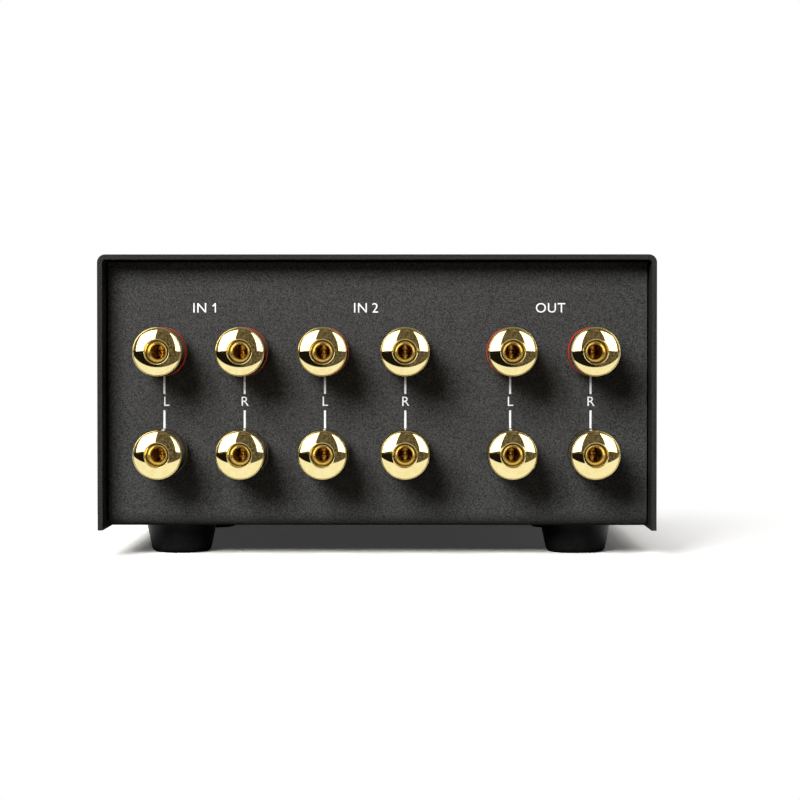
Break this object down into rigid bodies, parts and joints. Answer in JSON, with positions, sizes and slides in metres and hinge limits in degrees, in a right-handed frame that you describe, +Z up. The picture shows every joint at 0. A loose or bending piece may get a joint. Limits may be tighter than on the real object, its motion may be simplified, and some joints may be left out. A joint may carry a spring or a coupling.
{
  "type": "speaker selector switch",
  "caption": "Desktop speaker selector: black steel case, gold screw-down binding posts on a recessed rear panel, rotary switch with a front knob.",
  "frame": {"origin": "on the surface it stands on, under the middle of the overall length and width", "axes": "+X to the right seen from the knob side, +Y to the rear where the posts are, +Z up"},
  "size_m": [0.1684, 0.1994, 0.09],
  "materials": {
    "cover_black": "fine textured powder coat",
    "panel_black": "fine textured powder coat",
    "fascia_black": "black anodised, fine brushed",
    "black_screw": "black zinc",
    "foot_rubber": "matte",
    "zinc_steel": "zinc plated",
    "gold_stud": "gold plated, polished",
    "gold_cap": "gold plated, polished",
    "black_nylon": "satin",
    "ring_red": "satin",
    "ring_black": "satin",
    "board_green": "solder mask",
    "silver_contact": "silver plated",
    "switch_grey": "satin",
    "spring_steel": "bright",
    "nickel": "nickel plated",
    "rod_steel": "turned",
    "rotor_white": "satin",
    "knob_black": "black anodised",
    "mark_white": "satin"
  },
  "bodies": {
    "case": {"top_cover": "cover_black", "chassis": "panel_black", "front_fascia": "fascia_black", "cover_screws": "black_screw", "fascia_screws": "black_screw", "foot_front_left": "foot_rubber", "foot_front_right": "foot_rubber", "foot_rear_left": "foot_rubber", "foot_rear_right": "foot_rubber", "foot_washers": "zinc_steel", "foot_screws": "zinc_steel", "foot_nuts": "zinc_steel", "post_studs": "gold_stud", "post_insulators": "black_nylon", "post_nuts": "zinc_steel", "terminal_board": "board_green", "switch_terminals": "silver_contact", "switch_base": "black_nylon", "switch_spacer": "black_nylon", "switch_housing": "switch_grey", "detent_spring": "spring_steel", "front_bushing": "nickel", "bushing_washer": "nickel", "bushing_nut": "nickel"},
    "selector": {"selector_knob": "knob_black", "knob_pointer": "mark_white", "knob_set_screw": "black_screw", "drive_rod": "rod_steel", "shaft_coupler": "nickel", "coupler_screws": "black_screw", "switch_spindle": "rod_steel", "switch_rotor": "rotor_white", "rotor_contacts": "silver_contact", "detent_wheel": "rod_steel"},
    "in1_left_red_ring": {"ring_in1_left_red": "ring_red"},
    "in1_left_red_cap": {"cap_in1_left_red": "gold_cap"},
    "in1_left_black_ring": {"ring_in1_left_black": "ring_black"},
    "in1_left_black_cap": {"cap_in1_left_black": "gold_cap"},
    "in1_right_red_ring": {"ring_in1_right_red": "ring_red"},
    "in1_right_red_cap": {"cap_in1_right_red": "gold_cap"},
    "in1_right_black_ring": {"ring_in1_right_black": "ring_black"},
    "in1_right_black_cap": {"cap_in1_right_black": "gold_cap"},
    "in2_left_red_ring": {"ring_in2_left_red": "ring_red"},
    "in2_left_red_cap": {"cap_in2_left_red": "gold_cap"},
    "in2_left_black_ring": {"ring_in2_left_black": "ring_black"},
    "in2_left_black_cap": {"cap_in2_left_black": "gold_cap"},
    "in2_right_red_ring": {"ring_in2_right_red": "ring_red"},
    "in2_right_red_cap": {"cap_in2_right_red": "gold_cap"},
    "in2_right_black_ring": {"ring_in2_right_black": "ring_black"},
    "in2_right_black_cap": {"cap_in2_right_black": "gold_cap"},
    "out_left_red_ring": {"ring_out_left_red": "ring_red"},
    "out_left_red_cap": {"cap_out_left_red": "gold_cap"},
    "out_left_black_ring": {"ring_out_left_black": "ring_black"},
    "out_left_black_cap": {"cap_out_left_black": "gold_cap"},
    "out_right_red_ring": {"ring_out_right_red": "ring_red"},
    "out_right_red_cap": {"cap_out_right_red": "gold_cap"},
    "out_right_black_ring": {"ring_out_right_black": "ring_black"},
    "out_right_black_cap": {"cap_out_right_black": "gold_cap"}
  },
  "joints": [
    {"name": "selector_turn", "type": "hinge", "parent": "case", "child": "selector", "pos_m": [0, -0.09, 0.04925], "axis": [0, 1, 0], "range_deg": [-30, 30], "deforming": ["detent_spring"]},
    {"name": "in1_left_red_travel", "type": "slide", "parent": "case", "child": "in1_left_red_ring", "axis": [0, 1, 0], "range_m": [-0.001, 0.005]},
    {"name": "in1_left_red_turn", "type": "hinge", "parent": "in1_left_red_ring", "child": "in1_left_red_cap", "pos_m": [0.06365, 0.09, 0.0613], "axis": [0, 1, 0], "range_deg": [-360, 1800]},
    {"name": "in1_left_black_travel", "type": "slide", "parent": "case", "child": "in1_left_black_ring", "axis": [0, 1, 0], "range_m": [-0.001, 0.005]},
    {"name": "in1_left_black_turn", "type": "hinge", "parent": "in1_left_black_ring", "child": "in1_left_black_cap", "pos_m": [0.06365, 0.09, 0.0313], "axis": [0, 1, 0], "range_deg": [-360, 1800]},
    {"name": "in1_right_red_travel", "type": "slide", "parent": "case", "child": "in1_right_red_ring", "axis": [0, 1, 0], "range_m": [-0.001, 0.005]},
    {"name": "in1_right_red_turn", "type": "hinge", "parent": "in1_right_red_ring", "child": "in1_right_red_cap", "pos_m": [0.03965, 0.09, 0.0613], "axis": [0, 1, 0], "range_deg": [-360, 1800]},
    {"name": "in1_right_black_travel", "type": "slide", "parent": "case", "child": "in1_right_black_ring", "axis": [0, 1, 0], "range_m": [-0.001, 0.005]},
    {"name": "in1_right_black_turn", "type": "hinge", "parent": "in1_right_black_ring", "child": "in1_right_black_cap", "pos_m": [0.03965, 0.09, 0.0313], "axis": [0, 1, 0], "range_deg": [-360, 1800]},
    {"name": "in2_left_red_travel", "type": "slide", "parent": "case", "child": "in2_left_red_ring", "axis": [0, 1, 0], "range_m": [-0.001, 0.005]},
    {"name": "in2_left_red_turn", "type": "hinge", "parent": "in2_left_red_ring", "child": "in2_left_red_cap", "pos_m": [0.01565, 0.09, 0.0613], "axis": [0, 1, 0], "range_deg": [-360, 1800]},
    {"name": "in2_left_black_travel", "type": "slide", "parent": "case", "child": "in2_left_black_ring", "axis": [0, 1, 0], "range_m": [-0.001, 0.005]},
    {"name": "in2_left_black_turn", "type": "hinge", "parent": "in2_left_black_ring", "child": "in2_left_black_cap", "pos_m": [0.01565, 0.09, 0.0313], "axis": [0, 1, 0], "range_deg": [-360, 1800]},
    {"name": "in2_right_red_travel", "type": "slide", "parent": "case", "child": "in2_right_red_ring", "axis": [0, 1, 0], "range_m": [-0.001, 0.005]},
    {"name": "in2_right_red_turn", "type": "hinge", "parent": "in2_right_red_ring", "child": "in2_right_red_cap", "pos_m": [-0.00835, 0.09, 0.0613], "axis": [0, 1, 0], "range_deg": [-360, 1800]},
    {"name": "in2_right_black_travel", "type": "slide", "parent": "case", "child": "in2_right_black_ring", "axis": [0, 1, 0], "range_m": [-0.001, 0.005]},
    {"name": "in2_right_black_turn", "type": "hinge", "parent": "in2_right_black_ring", "child": "in2_right_black_cap", "pos_m": [-0.00835, 0.09, 0.0313], "axis": [0, 1, 0], "range_deg": [-360, 1800]},
    {"name": "out_left_red_travel", "type": "slide", "parent": "case", "child": "out_left_red_ring", "axis": [0, 1, 0], "range_m": [-0.001, 0.005]},
    {"name": "out_left_red_turn", "type": "hinge", "parent": "out_left_red_ring", "child": "out_left_red_cap", "pos_m": [-0.03965, 0.09, 0.0613], "axis": [0, 1, 0], "range_deg": [-360, 1800]},
    {"name": "out_left_black_travel", "type": "slide", "parent": "case", "child": "out_left_black_ring", "axis": [0, 1, 0], "range_m": [-0.001, 0.005]},
    {"name": "out_left_black_turn", "type": "hinge", "parent": "out_left_black_ring", "child": "out_left_black_cap", "pos_m": [-0.03965, 0.09, 0.0313], "axis": [0, 1, 0], "range_deg": [-360, 1800]},
    {"name": "out_right_red_travel", "type": "slide", "parent": "case", "child": "out_right_red_ring", "axis": [0, 1, 0], "range_m": [-0.001, 0.005]},
    {"name": "out_right_red_turn", "type": "hinge", "parent": "out_right_red_ring", "child": "out_right_red_cap", "pos_m": [-0.06365, 0.09, 0.0613], "axis": [0, 1, 0], "range_deg": [-360, 1800]},
    {"name": "out_right_black_travel", "type": "slide", "parent": "case", "child": "out_right_black_ring", "axis": [0, 1, 0], "range_m": [-0.001, 0.005]},
    {"name": "out_right_black_turn", "type": "hinge", "parent": "out_right_black_ring", "child": "out_right_black_cap", "pos_m": [-0.06365, 0.09, 0.0313], "axis": [0, 1, 0], "range_deg": [-360, 1800]}
  ],
  "couplings": [
    {"joint": "in1_left_red_turn", "follows": "in1_left_red_travel", "rad_per_m": 6283.2},
    {"joint": "in1_left_black_turn", "follows": "in1_left_black_travel", "rad_per_m": 6283.2},
    {"joint": "in1_right_red_turn", "follows": "in1_right_red_travel", "rad_per_m": 6283.2},
    {"joint": "in1_right_black_turn", "follows": "in1_right_black_travel", "rad_per_m": 6283.2},
    {"joint": "in2_left_red_turn", "follows": "in2_left_red_travel", "rad_per_m": 6283.2},
    {"joint": "in2_left_black_turn", "follows": "in2_left_black_travel", "rad_per_m": 6283.2},
    {"joint": "in2_right_red_turn", "follows": "in2_right_red_travel", "rad_per_m": 6283.2},
    {"joint": "in2_right_black_turn", "follows": "in2_right_black_travel", "rad_per_m": 6283.2},
    {"joint": "out_left_red_turn", "follows": "out_left_red_travel", "rad_per_m": 6283.2},
    {"joint": "out_left_black_turn", "follows": "out_left_black_travel", "rad_per_m": 6283.2},
    {"joint": "out_right_red_turn", "follows": "out_right_red_travel", "rad_per_m": 6283.2},
    {"joint": "out_right_black_turn", "follows": "out_right_black_travel", "rad_per_m": 6283.2}
  ]
}
